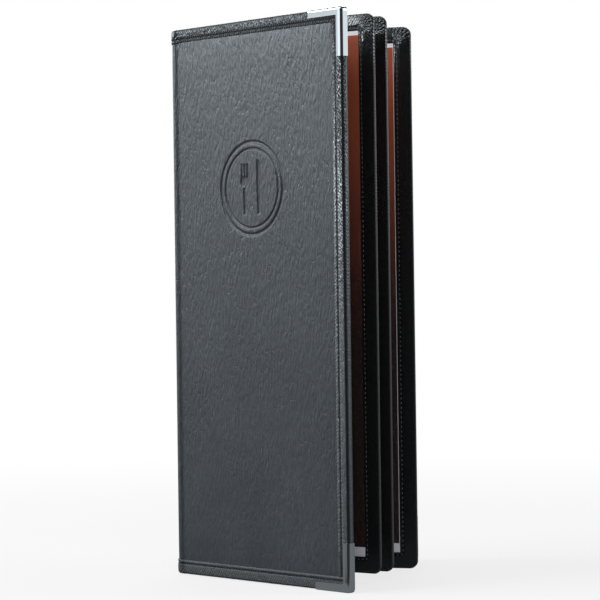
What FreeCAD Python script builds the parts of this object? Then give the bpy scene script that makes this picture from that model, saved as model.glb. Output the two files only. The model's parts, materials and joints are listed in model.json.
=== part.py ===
import FreeCAD
import Part
import os
import re

# Guest check presenter: a tall sewn booklet in black leatherette.
# Two stiff covers and three clear-pocket leaves turn on a flat spine strip.
# It stands on its bottom edge, fanned open, with the spine at -X and the covers' bisector along +X.
# Millimetres, +Z up, origin at the centre of the footprint.

os.makedirs("parts", exist_ok=True)
doc = FreeCAD.newDocument("check_presenter")
sheet = doc.addObject("Spreadsheet::Sheet", "Sizes")

SIZES = [
    # Printed cards, one in each leaf pocket: the booklet is made round this insert
    ("card_width", 108.0),
    ("card_height", 279.4),
    ("card_thickness", 0.2),
    ("card_side_gap", 0.6),
    ("card_hinge_gap", 1.1),
    ("card_top_gap", 0.3),
    # Covers: leatherette over board, edged with a folded strip
    ("cover_side_margin", 4.4),
    ("cover_end_margin", 6.4),
    ("board_thickness", 2.4),
    ("skin_thickness", 0.5),
    ("liner_thickness", 0.5),
    ("strip_thickness", 0.4),
    ("cover_top_strip", 7.5),
    ("cover_bottom_strip", 7.8),
    ("cover_fore_strip", 8.4),
    ("cover_corner_radius", 2.0),
    ("fold_radius_share", 2.4),
    ("board_start", 3.0),
    ("hinge_seam", 6.0),
    # Metal corner protectors
    ("metal_thickness", 0.4),
    ("metal_arm", 25.5),
    ("metal_flange", 4.0),
    # Leaves: two clear windows over a black divider, edged like the covers
    ("divider_thickness", 0.5),
    ("pocket_slack", 0.05),
    ("window_thickness", 0.2),
    ("leaf_side_strip", 9.4),
    ("leaf_bottom_strip", 8.8),
    ("leaf_top_strip", 8.5),
    ("leaf_hinge_strip", 10.0),
    ("leaf_corner_radius", 4.6),
    ("leaf_body_start", 4.0),
    ("hinge_web", 1.0),
    ("web_wall", 0.4),
    ("hem_step", 2.0),
    # Spine strip and the stack of hinge lines along it
    ("bead_clearance", 0.3),
    ("cover_gap", 0.7),
    ("leaf_gap", 0.6),
    ("leaf_axis_forward", 2.0),
    ("tape_end_gap", 0.5),
    ("spine_edge_radius", 0.35),
    ("leaf_a_lift", 6.2),
    ("leaf_b_lift", 6.0),
    ("leaf_c_lift", 3.8),
    # Rest angles about the hinge lines, from the bisector, in degrees
    ("front_cover_angle", -33.3),
    ("leaf_a_angle", -21.7),
    ("leaf_b_angle", -16.7),
    ("leaf_c_angle", -1.2),
    ("back_cover_angle", 33.3),
    # One overrun for every cut
    ("overrun", 1.0),
]
for row, (alias, value) in enumerate(SIZES, start=1):
    sheet.set("A%d" % row, alias)
    sheet.set("B%d" % row, str(value))
    sheet.setAlias("B%d" % row, alias)
doc.recompute()

ALIASES = [alias for alias, value in SIZES]
WORD = re.compile(r"[a-z][a-z_]*")


def size(alias):
    """One driving dimension, read back from the sheet."""
    return float(sheet.get(alias))


def bound(text):
    """The same expression with every alias named through the sheet."""
    return WORD.sub(lambda hit: "Sizes." + hit.group(0) if hit.group(0) in ALIASES else hit.group(0), text)


# Sizes that follow from the driving ones, as expressions
LEAF_WIDTH = "(leaf_hinge_strip+card_hinge_gap+card_width+card_side_gap+leaf_side_strip)"
LEAF_HEIGHT = "(leaf_bottom_strip+card_height+card_top_gap+leaf_top_strip)"
COVER_WIDTH = "(leaf_axis_forward+%s+cover_side_margin)" % LEAF_WIDTH
COVER_HEIGHT = "(%s+cover_end_margin)" % LEAF_HEIGHT
COVER_HALF = "(strip_thickness+(skin_thickness+board_thickness+liner_thickness)/2)"
SKIN_HALF = "(%s-strip_thickness)" % COVER_HALF
BOARD_HALF = "(board_thickness/2)"
WINDOW_IN = "(divider_thickness/2+card_thickness+2*pocket_slack)"
WINDOW_OUT = "(%s+window_thickness)" % WINDOW_IN
LEAF_HALF = "(%s+strip_thickness)" % WINDOW_OUT
CARD_IN = "(divider_thickness/2+pocket_slack)"
CARD_OUT = "(%s+card_thickness)" % CARD_IN
LEAF_PITCH = "(2*%s+leaf_gap)" % LEAF_HALF
COVER_PITCH = "(%s+%s+cover_gap)" % (COVER_HALF, LEAF_HALF)
COVER_AXIS_Y = "(%s+%s)" % (LEAF_PITCH, COVER_PITCH)
SPINE_HALF = "(%s+%s)" % (COVER_AXIS_Y, COVER_HALF)
SPINE_IN = "(%s+bead_clearance)" % COVER_HALF
SPINE_LINER_IN = "(%s+strip_thickness)" % SPINE_IN
SPINE_LINER_OUT = "(%s+liner_thickness)" % SPINE_LINER_IN
SPINE_SKIN_OUT = "(%s+skin_thickness)" % SPINE_LINER_OUT
SPINE_OUT = "(%s+strip_thickness)" % SPINE_SKIN_OUT
COVER_BASE = "metal_thickness"
COVER_TOP = "(metal_thickness+%s)" % COVER_HEIGHT
TOTAL_TOP = "(2*metal_thickness+%s)" % COVER_HEIGHT
FORE_REACH = "(leaf_axis_forward+%s*cos(leaf_c_angle*1deg)-%s*sin(leaf_c_angle*1deg))" % (LEAF_WIDTH, LEAF_HALF)
SPINE_X = "((%s-%s)/2)" % (SPINE_OUT, FORE_REACH)

NO_TURN = "rotation(vector(0;0;1);0)"
FINISHED = []


def seat(x_text, y_text, angle_text):
    """Placement of a body whose own origin is on its hinge line."""
    return "placement(vector(%s+%s;%s;0);rotation(vector(0;0;1);%s))" % (SPINE_X, x_text, y_text, angle_text)


def box(name, x_low, x_high, y_low, y_high, z_low, z_high, frame=None):
    """A plate between three pairs of expressions."""
    made = doc.addObject("Part::Box", name)
    made.setExpression("Length", bound("%s-(%s)" % (x_high, x_low)))
    made.setExpression("Width", bound("%s-(%s)" % (y_high, y_low)))
    made.setExpression("Height", bound("%s-(%s)" % (z_high, z_low)))
    corner = "placement(vector(%s;%s;%s);%s)" % (x_low, y_low, z_low, NO_TURN)
    made.setExpression("Placement", bound(frame + "*" + corner if frame else corner))
    return made


def rod(name, radius, z_low, z_high):
    """A round bar on the hinge line."""
    made = doc.addObject("Part::Cylinder", name)
    made.setExpression("Radius", bound(radius))
    made.setExpression("Height", bound("%s-(%s)" % (z_high, z_low)))
    made.setExpression("Placement", bound("placement(vector(0;0;%s);%s)" % (z_low, NO_TURN)))
    return made


def rounded(name, base, radius, picks):
    """Fillets on the edges of a plate that the picking function accepts."""
    doc.recompute()
    made = doc.addObject("Part::Fillet", name)
    made.Base = base
    chosen = [index for index, edge in enumerate(base.Shape.Edges, start=1) if picks(edge)]
    made.Edges = [(index, radius, radius) for index in chosen]
    return made


def fused(name, *pieces):
    """One solid out of several that touch or cross."""
    made = doc.addObject("Part::MultiFuse", name)
    made.Shapes = list(pieces)
    made.Refine = True
    return made


def cut(name, base, tool):
    """The base less the tool."""
    made = doc.addObject("Part::Cut", name)
    made.Base = base
    made.Tool = tool
    made.Refine = True
    return made


def finish(label, made, frame=None):
    """Names a finished piece and seats it on its hinge line."""
    made.Label = label
    if frame:
        made.setExpression("Placement", bound(frame))
    FINISHED.append(made)
    return made


def crosswise(edge):
    """True for an edge that runs through the thickness of a plate."""
    box_of = edge.BoundBox
    return box_of.YLength > max(box_of.XLength, box_of.ZLength)


def upright(edge):
    """True for an edge that runs along the height of a plate."""
    box_of = edge.BoundBox
    return box_of.ZLength > max(box_of.XLength, box_of.YLength)


def fore_corners(base):
    """Picks the crosswise edges on the fore side of a plate."""
    doc.recompute()
    limit = base.Shape.BoundBox.Center.x
    return lambda edge: crosswise(edge) and edge.CenterOfMass.x > limit


def fore_corner_at(base, upper):
    """Picks the one crosswise fore edge at the top, or at the bottom, of a plate."""
    doc.recompute()
    middle = base.Shape.BoundBox.Center

    def picks(edge):
        place = edge.CenterOfMass
        return crosswise(edge) and place.x > middle.x and (place.z > middle.z) == upper
    return picks


def fore_rounded(name, radius, *limits):
    """A plate with both fore corners rounded."""
    base = box(name + "_plate", *limits)
    return rounded(name, base, radius, fore_corners(base))


def one_rounded(name, radius, upper, *limits):
    """A plate with one fore corner rounded."""
    base = box(name + "_plate", *limits)
    return rounded(name, base, radius, fore_corner_at(base, upper))


def make_cover(cover, side):
    """One cover. The outer face looks to -Y for side -1 and to +Y for side +1."""
    axis_y = "%s" % COVER_AXIS_Y if side > 0 else "(-%s)" % COVER_AXIS_Y
    frame = seat("0", axis_y, cover + "_angle")
    edge_x = "(%s-strip_thickness)" % COVER_WIDTH
    core_low = "(%s+strip_thickness)" % COVER_BASE
    core_high = "(%s-strip_thickness)" % COVER_TOP
    outer_radius = size("cover_corner_radius")
    inner_radius = outer_radius - size("strip_thickness")
    fold_radius = size("fold_radius_share") * size("strip_thickness")
    outward = ("-" + SKIN_HALF, "-" + BOARD_HALF)
    inward = (BOARD_HALF, SKIN_HALF)
    if side > 0:
        outward, inward = inward, outward

    # Stiff board inside
    board = fore_rounded(cover + "_board_core", inner_radius, "board_start", edge_x,
                         "-" + BOARD_HALF, BOARD_HALF, core_low, core_high)
    finish(cover + "_board", board, frame)

    # Leatherette skin: the outer face, folded round the hinge edge and back to the seam
    roll_out = fused(cover + "_roll_out",
                     rod(cover + "_roll_rod", SKIN_HALF, core_low, core_high),
                     box(cover + "_roll_flat", "0", "hinge_seam", "-" + SKIN_HALF, SKIN_HALF, core_low, core_high))
    roll_in = fused(cover + "_roll_in",
                    rod(cover + "_roll_bore", BOARD_HALF, core_low + "-overrun", core_high + "+overrun"),
                    box(cover + "_roll_gap", "0", "hinge_seam+overrun", "-" + BOARD_HALF, BOARD_HALF,
                        core_low + "-overrun", core_high + "+overrun"))
    roll = cut(cover + "_roll", roll_out, roll_in)
    sheet_out = fore_rounded(cover + "_face", inner_radius, "hinge_seam/2", edge_x,
                             outward[0], outward[1], core_low, core_high)
    finish(cover + "_skin", fused(cover + "_skin_solid", roll, sheet_out), frame)

    # Lining on the inner face, from the seam to the fore edge
    lining = fore_rounded(cover + "_lining", inner_radius, "hinge_seam", edge_x,
                          inward[0], inward[1], core_low, core_high)
    finish(cover + "_liner", lining, frame)

    # Folded edging with a rounded fold: end strips go round the hinge bead, the fore strip stands between them
    low_line = "(%s+cover_bottom_strip)" % COVER_BASE
    high_line = "(%s-cover_top_strip)" % COVER_TOP
    bands = [("top", True, high_line, COVER_TOP, high_line + "-overrun", core_high),
             ("bottom", False, COVER_BASE, low_line, core_low, low_line + "+overrun")]
    for word, upper, low, high, hollow_low, hollow_high in bands:
        stem = cover + "_" + word
        whole = fused(stem + "_whole",
                      rod(stem + "_bead", COVER_HALF, low, high),
                      one_rounded(stem + "_band", outer_radius, upper, "0", COVER_WIDTH,
                                  "-" + COVER_HALF, COVER_HALF, low, high))
        soft = rounded(stem + "_soft", whole, fold_radius, rim(whole, fold_radius, upper))
        hollow = fused(stem + "_hollow",
                       rod(stem + "_bead_core", SKIN_HALF, hollow_low, hollow_high),
                       one_rounded(stem + "_core", inner_radius, upper, "0", edge_x,
                                   "-" + SKIN_HALF, SKIN_HALF, hollow_low, hollow_high))
        finish(stem + "_strip", cut(stem + "_strip_solid", soft, hollow), frame)
    fore = box(cover + "_fore_band", COVER_WIDTH + "-cover_fore_strip", COVER_WIDTH,
               "-" + COVER_HALF, COVER_HALF, low_line, high_line)
    fore_soft = rounded(cover + "_fore_soft", fore, fold_radius, fore_rim(fore))
    fore_core = box(cover + "_fore_core", COVER_WIDTH + "-cover_fore_strip-overrun", edge_x,
                    "-" + SKIN_HALF, SKIN_HALF, low_line + "-overrun", high_line + "+overrun")
    finish(cover + "_fore_strip", cut(cover + "_fore_solid", fore_soft, fore_core), frame)

    # Metal corner protectors: sheet bent round the folded edge, with an L-shaped flange on both faces
    metal_half = "(%s+metal_thickness)" % COVER_HALF
    bend_radius = fold_radius + size("metal_thickness")
    corners = [("top", True, "(%s-metal_arm)" % COVER_TOP, TOTAL_TOP,
                "%s-metal_arm-overrun" % COVER_TOP, COVER_TOP,
                "%s-metal_arm-overrun" % COVER_TOP, "%s-metal_flange" % COVER_TOP),
               ("bottom", False, "0", "(%s+metal_arm)" % COVER_BASE,
                COVER_BASE, "%s+metal_arm+overrun" % COVER_BASE,
                "%s+metal_flange" % COVER_BASE, "%s+metal_arm+overrun" % COVER_BASE)]
    for word, upper, low, high, bed_low, bed_high, open_low, open_high in corners:
        stem = cover + "_" + word + "_corner"
        block = one_rounded(stem + "_round", outer_radius + size("metal_thickness"), upper,
                            COVER_WIDTH + "-metal_arm", COVER_WIDTH + "+metal_thickness",
                            "-" + metal_half, metal_half, low, high)
        bent = rounded(stem + "_bent", block, bend_radius, rim(block, bend_radius, upper))
        seat_block = one_rounded(stem + "_seat", outer_radius, upper,
                                 COVER_WIDTH + "-metal_arm-overrun", COVER_WIDTH,
                                 "-" + COVER_HALF, COVER_HALF, bed_low, bed_high)
        bed = rounded(stem + "_bed", seat_block, fold_radius, rim(seat_block, fold_radius, upper))
        opening = box(stem + "_opening", COVER_WIDTH + "-metal_arm-overrun", COVER_WIDTH + "-metal_flange",
                      "-%s-overrun" % metal_half, metal_half + "+overrun", open_low, open_high)
        finish(stem, cut(stem + "_solid", bent, fused(stem + "_tools", bed, opening)), frame)


def rim(base, radius, upper):
    """Picks the edges between the faces of a plate and its outer wall, at the fore side and at one end."""
    doc.recompute()
    room = base.Shape.BoundBox
    face = (room.YLength - radius) / 2
    far_x = room.XMin + radius
    near_z = room.ZMin + radius if upper else room.ZMax - radius

    def picks(edge):
        reach = edge.BoundBox
        if crosswise(edge) or abs(edge.CenterOfMass.y) < face:
            return False
        beyond = reach.ZMax > near_z if upper else reach.ZMin < near_z
        return reach.XMax > far_x and beyond
    return picks


def fore_rim(base):
    """Picks the two upright edges on the fore side of a plate."""
    doc.recompute()
    limit = base.Shape.BoundBox.Center.x
    return lambda edge: upright(edge) and edge.CenterOfMass.x > limit


def make_leaf(leaf, order):
    """One leaf with a clear pocket on each side. The order counts hinge lines from the middle one."""
    axis_y = "%d*%s" % (order, LEAF_PITCH)
    frame = seat("leaf_axis_forward", axis_y, leaf + "_angle")
    base = "(metal_thickness+%s_lift)" % leaf
    top = "(%s+%s)" % (base, LEAF_HEIGHT)
    edge_x = "(%s-strip_thickness)" % LEAF_WIDTH
    core_start = "(leaf_body_start+web_wall)"
    core_low = "(%s+strip_thickness)" % base
    core_high = "(%s-strip_thickness)" % top
    outer_radius = size("leaf_corner_radius")
    inner_radius = outer_radius - size("strip_thickness")
    fore_line = "(%s-leaf_side_strip)" % LEAF_WIDTH
    low_line = "(%s+leaf_bottom_strip)" % base
    high_line = "(%s-leaf_top_strip)" % top

    # Black divider between the two pockets, a little short of the open top
    divider = fore_rounded(leaf + "_divider_core", inner_radius, core_start, edge_x,
                           "-divider_thickness/2", "divider_thickness/2", core_low, core_high + "-hem_step")
    finish(leaf + "_divider", divider, frame)

    # Pocket pieces on each side: clear window, card, and the strip along the window's open top
    for word, sign in (("front", "-"), ("back", "")):
        stem = leaf + "_" + word
        near = (sign + WINDOW_IN, sign + WINDOW_OUT, sign + LEAF_HALF)
        window_limits = (near[1], near[0]) if sign else (near[0], near[1])
        strip_limits = (near[2], near[1]) if sign else (near[1], near[2])
        lip_limits = (near[2], near[0]) if sign else (near[0], near[2])
        card_limits = (sign + CARD_OUT, sign + CARD_IN) if sign else (CARD_IN, CARD_OUT)
        window = fore_rounded(stem + "_window_core", inner_radius, core_start, edge_x,
                              *window_limits, core_low, core_high)
        finish(stem + "_window", window, frame)
        card_edge = "(%s-card_side_gap)" % fore_line
        card = box(stem + "_card_sheet", card_edge + "-card_width", card_edge, *card_limits,
                   low_line, low_line + "+card_height", frame)
        finish(stem + "_card", card)
        strip = fused(stem + "_top_strip_solid",
                      box(stem + "_top_leg", "leaf_hinge_strip", fore_line, *strip_limits, high_line, top),
                      box(stem + "_top_lip", "leaf_hinge_strip", fore_line, *lip_limits, core_high, top))
        finish(stem + "_top_strip", strip, frame)

    # Edging sewn round the bottom and the fore edge, rounded at both fore corners
    outline = fore_rounded(leaf + "_outline", outer_radius, "leaf_hinge_strip", LEAF_WIDTH,
                           "-" + LEAF_HALF, LEAF_HALF, base, top)
    core = fore_rounded(leaf + "_core", inner_radius, "leaf_hinge_strip-overrun", edge_x,
                        "-" + WINDOW_OUT, WINDOW_OUT, core_low, core_high)
    view = box(leaf + "_view", "leaf_hinge_strip-overrun", fore_line,
               "-%s-overrun" % LEAF_HALF, LEAF_HALF + "+overrun", low_line, top + "+overrun")
    finish(leaf + "_edge_strip", cut(leaf + "_edge_solid", outline, fused(leaf + "_edge_tools", core, view)), frame)

    # Hinge strip: a thin web that bends at the spine, then two legs over the windows
    web = "(hinge_web/2)"
    legs = cut(leaf + "_legs",
               box(leaf + "_leg_block", "leaf_body_start", "leaf_hinge_strip", "-" + LEAF_HALF, LEAF_HALF, base, top),
               box(leaf + "_leg_core", core_start, "leaf_hinge_strip+overrun", "-" + WINDOW_OUT, WINDOW_OUT,
                   base + "-overrun", top + "+overrun"))
    strip = fused(leaf + "_hinge_solid", legs,
                  box(leaf + "_web", "0", "leaf_body_start+web_wall/2", "-" + web, web, base, top),
                  rod(leaf + "_bead", web, base, top))
    finish(leaf + "_hinge_strip", strip, frame)

    # Tape sewn to the spine lining, which carries the leaf's hinge line
    tape = box(leaf + "_tape", "-%s" % SPINE_LINER_IN, "leaf_axis_forward-%s-bead_clearance" % web,
               axis_y + "-" + web, axis_y + "+" + web,
               "%s+cover_bottom_strip+tape_end_gap" % COVER_BASE, "%s-cover_top_strip-tape_end_gap" % COVER_TOP,
               seat("0", "0", "0"))
    finish(leaf + "_hinge_tape", tape)


def make_spine():
    """The flat strip that joins the covers: lining, skin, and a folded strip at each end."""
    frame = seat("0", "0", "0")
    low_line = "(%s+cover_bottom_strip)" % COVER_BASE
    high_line = "(%s-cover_top_strip)" % COVER_TOP
    room = ("-" + SPINE_HALF, SPINE_HALF, "strip_thickness", "(%s-strip_thickness)" % TOTAL_TOP)
    lining = box("spine_lining_sheet", "-" + SPINE_LINER_OUT, "-" + SPINE_LINER_IN, *room, frame)
    finish("spine_liner", lining)
    layer = box("spine_skin_sheet", "-" + SPINE_SKIN_OUT, "-" + SPINE_LINER_OUT, *room)
    finish("spine_skin", rounded("spine_skin_soft", layer, size("spine_edge_radius"), outer_edges(layer)), frame)
    ends = [("bottom", "0", low_line, "strip_thickness", low_line + "+overrun"),
            ("top", high_line, TOTAL_TOP, high_line + "-overrun", "%s-strip_thickness" % TOTAL_TOP)]
    for word, low, high, hollow_low, hollow_high in ends:
        stem = "spine_%s" % word
        block = box(stem + "_block", "-" + SPINE_OUT, "-" + SPINE_IN, "-" + SPINE_HALF, SPINE_HALF, low, high)
        soft = rounded(stem + "_soft", block, size("spine_edge_radius"), outer_edges(block))
        core = box(stem + "_core", "-" + SPINE_SKIN_OUT, "-" + SPINE_LINER_IN,
                   "-%s-overrun" % SPINE_HALF, SPINE_HALF + "+overrun", hollow_low, hollow_high)
        finish(stem + "_strip", cut(stem + "_solid", soft, core), frame)


def outer_edges(base):
    """Picks the two upright edges on the outer face of the spine."""
    doc.recompute()
    middle = base.Shape.BoundBox.Center.x
    return lambda edge: upright(edge) and edge.CenterOfMass.x < middle


make_spine()
make_cover("front_cover", -1)
make_cover("back_cover", 1)
for leaf_order, leaf_name in enumerate(("leaf_a", "leaf_b", "leaf_c"), start=-1):
    make_leaf(leaf_name, leaf_order)
doc.recompute()

# Every object and every finished solid is sound before anything is written
for item in doc.Objects:
    if "Invalid" in item.State or "Error" in item.State:
        raise RuntimeError("%s failed: %s" % (item.Label, item.State))
for piece in FINISHED:
    if piece.Shape.isNull() or not piece.Shape.isValid() or len(piece.Shape.Solids) != 1:
        raise RuntimeError("%s isn't one sound solid" % piece.Label)
for piece in FINISHED:
    piece.Shape.exportStep("parts/%s.step" % piece.Label)
whole_box = FINISHED[0].Shape.optimalBoundingBox()
for piece in FINISHED[1:]:
    whole_box.add(piece.Shape.optimalBoundingBox())
print("pieces", len(FINISHED), "box", whole_box)
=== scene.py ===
import json
import math

import bpy
from bpy.props import FloatProperty, FloatVectorProperty, IntProperty, PointerProperty
from mathutils import Matrix, Vector, noise


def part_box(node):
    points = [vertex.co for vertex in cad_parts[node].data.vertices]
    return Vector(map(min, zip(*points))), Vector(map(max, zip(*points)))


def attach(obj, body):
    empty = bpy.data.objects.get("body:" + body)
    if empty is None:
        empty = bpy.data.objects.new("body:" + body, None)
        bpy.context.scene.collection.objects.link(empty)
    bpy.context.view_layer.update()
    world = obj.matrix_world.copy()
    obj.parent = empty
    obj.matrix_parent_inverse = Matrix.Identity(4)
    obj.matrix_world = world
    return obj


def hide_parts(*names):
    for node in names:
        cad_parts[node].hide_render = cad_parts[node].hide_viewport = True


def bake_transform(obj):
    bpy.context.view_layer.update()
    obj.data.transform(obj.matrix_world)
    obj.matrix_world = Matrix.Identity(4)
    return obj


bl_info = {
    "name": "Check presenter dressing",
    "version": (1, 0, 0),
    "blender": (4, 5, 0),
    "location": "3D View > Sidebar > Presenter",
    "description": "Leatherette, stitching, metal corners and printed cards for a fanned check presenter",
    "category": "Object",
}

MM = 0.001
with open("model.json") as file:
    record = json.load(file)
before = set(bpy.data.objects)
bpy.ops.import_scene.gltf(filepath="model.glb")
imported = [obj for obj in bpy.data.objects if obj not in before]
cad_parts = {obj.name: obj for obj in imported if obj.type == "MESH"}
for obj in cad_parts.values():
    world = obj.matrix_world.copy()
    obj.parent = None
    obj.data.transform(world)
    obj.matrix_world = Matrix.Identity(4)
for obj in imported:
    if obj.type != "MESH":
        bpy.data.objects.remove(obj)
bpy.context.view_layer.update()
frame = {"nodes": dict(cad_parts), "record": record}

# Hinge lines and rest angles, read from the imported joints
BEHAVIOUR = frame["record"]["behaviour"]
JOINT_OF = {joint["child"]: joint for joint in BEHAVIOUR["joints"]}
RATIO_OF = {coupling["joint"]: coupling["ratio"] for coupling in BEHAVIOUR["couplings"]}
LEAVES = ("leaf_a", "leaf_b", "leaf_c")
COVERS = ("front_cover", "back_cover")

# Folded strips of the covers
STRIP_BEND = 1.2 * MM  # outer radius of the fold
STRIP_ROWS = 52  # grid lines round the fold
UNDERLAP = 1.2 * MM  # how far the face and the lining run on under the strips
STRIP_COLLAR = 5 * MM  # outer part of a strip, which the metal corners cover
THREAD_LIFT = 0.12 * MM  # middle of the thread above the leatherette

# Plain debossed device on the front cover
DEVICE_FORWARD = 62.5 * MM  # its centre from the hinge line
DEVICE_DOWN = 83.5 * MM  # its centre below the top strip
DEVICE_HALF = 27 * MM  # half the field that holds it
DEVICE_DEPTH = 0.6 * MM
DEVICE_LINES = 0.62  # share of the grid's lines that this field gets

# Borders of the leaves
OPENING_CORNER = 0.9 * MM  # inner radius of a border
CORNER_COLUMNS = 56  # grid lines round one corner
KNEE = 0.86  # share of the grid across a border that lies flat, before it rounds over
PLEAT_DEPTH = {1: 0.10 * MM, 3: 0.24 * MM}  # at a border's lower and upper corner

# Gathers of the strips' leatherette
RIDGE_PITCH = 1.8 * MM
RIDGE_TURN = 1.5 * MM  # distance from the seam at which the slant turns back

# The photograph's viewpoint: right of the row frame's front, level, rolled a little
CAMERA_PLACE = (0.34479, -1.31347, 0.15220)
CAMERA_LENS = 146.85
CAMERA_TURN = math.radians(14.593)
CAMERA_ROLL = math.radians(0.777)

# Name, place, height looked at, width and height in metres, and power in watts
LAMPS = [
    ("key", (-1.60, -0.33, 0.83), 0.30, (0.9, 0.36), 18.5),
    ("top", (-0.9, -0.9, 1.6), 0.16, (0.6, 0.6), 16.0),
    ("fill", (0.6, -1.9, 1.0), 0.15, (1.1, 1.1), 13.0),
    ("rim", (1.75, 0.35, 1.05), 0.15, (0.7, 0.7), 12.0),
    ("back", (-0.4, 1.8, 1.3), 0.15, (1.0, 1.0), 12.0),
]


def rest_angle(body):
    """Angle of a cover or a leaf from the bisector at rest, in radians about +Z."""
    joint = JOINT_OF[body]
    lead = joint if body in COVERS else JOINT_OF["front_cover"]
    turn = -math.radians(lead["range_deg"][0]) * RATIO_OF.get(joint["name"], 1.0)
    return joint["axis"][2] * turn


def local_frame(body):
    """Matrix from a body's own flat frame, with its hinge line at x = 0, to the row frame."""
    place = JOINT_OF[body]["pos_m"]
    return Matrix.Translation((*place[:2], 0)) @ Matrix.Rotation(rest_angle(body), 4, "Z")


def local_limits(body, node):
    """Lowest and highest corners of a node in its body's own flat frame, in metres."""
    back = local_frame(body).inverted()
    corners = [back @ vertex.co for vertex in frame["nodes"][node].data.vertices]
    return [Vector([pick(values) for values in zip(*corners)]) for pick in (min, max)]


def length_of(name, description, millimetres):
    return FloatProperty(name=name, description=description, default=millimetres * MM, unit="LENGTH")


def colour_of(name, description, default):
    return FloatVectorProperty(name=name, description=description, default=default, subtype="COLOR", size=3)


class PresenterSizes(bpy.types.PropertyGroup):
    """Sizes of the sewn details."""
    stitch_pitch: length_of("Stitch pitch", "From one stitch to the next", 2.6)
    stitch_length: length_of("Stitch length", "Visible thread of one stitch", 1.7)
    thread_radius: length_of("Thread radius", "Half the thread's thickness", 0.2)
    top_seam: length_of("End seam inset", "From a top or bottom strip's inner edge to its seam", 1.9)
    fore_seam: length_of("Fore seam inset", "From the fore strip's inner edge to its seam", 2.8)
    leaf_seam: length_of("Leaf seam inset", "From a leaf border's inner edge to its seam", 1.4)
    pucker: length_of("Pucker", "Dip of the leatherette at each stitch", 0.13)
    spine_bend: length_of("Spine bend", "Radius where the skin turns from spine to cover", 3.6)
    leaf_corner: length_of("Leaf corner", "Radius of each leaf's rounded corners", 4.6)
    pleats: IntProperty(name="Corner pleats", description="Gathers round each leaf corner", default=7)


class PresenterFinish(bpy.types.PropertyGroup):
    """Colours of the materials."""
    skin_colour: colour_of("Skin", "Leatherette of the cover faces", (0.026, 0.031, 0.037))
    edging_colour: colour_of("Edging", "Folded strips round the covers", (0.041, 0.048, 0.055))
    leaf_colour: colour_of("Leaf edging", "Folded strips round the leaves", (0.015, 0.015, 0.016))
    thread_colour: colour_of("Thread", "Sewing thread of the covers", (0.004, 0.004, 0.005))
    # Painted highlight: the leaf thread is pale grey so that its stitches show as a dotted light line.
    leaf_thread_colour: colour_of("Leaf thread", "Waxed thread of the leaf seams", (0.15, 0.15, 0.16))
    metal_colour: colour_of("Metal", "Bright nickel corners", (0.50, 0.555, 0.595))
    print_top: colour_of("Print, top", "Card print at its upper end", (0.34, 0.072, 0.029))
    print_bottom: colour_of("Print, bottom", "Card print at its lower end", (0.014, 0.0075, 0.0075))
    paper_colour: colour_of("Paper", "Bare margin of the card", (0.80, 0.80, 0.84))


def sizes():
    return bpy.context.scene.presenter_sizes


def finish_of():
    return bpy.context.scene.presenter_finish


def operation(name):
    """A method that adds one Math node."""
    return lambda self, *others: self.paint.math(name, self, *others)


class Value:
    """A shader socket that can be used in sums."""
    __add__ = __radd__ = operation("ADD")
    __sub__ = operation("SUBTRACT")
    __mul__ = __rmul__ = operation("MULTIPLY")
    __truediv__ = operation("DIVIDE")
    absolute = operation("ABSOLUTE")
    root = operation("SQRT")
    sine = operation("SINE")
    fraction = operation("FRACT")
    most = operation("MAXIMUM")

    def __init__(self, paint, socket):
        self.paint = paint
        self.socket = socket

    def __rsub__(self, other):
        return self.paint.math("SUBTRACT", other, self)

    def step(self, low, high):
        """0 below low, 1 above high, smooth between."""
        return self.paint.node("MapRange", {"interpolation_type": "SMOOTHSTEP"},
                               {"Value": self, "From Min": low, "From Max": high})


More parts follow.
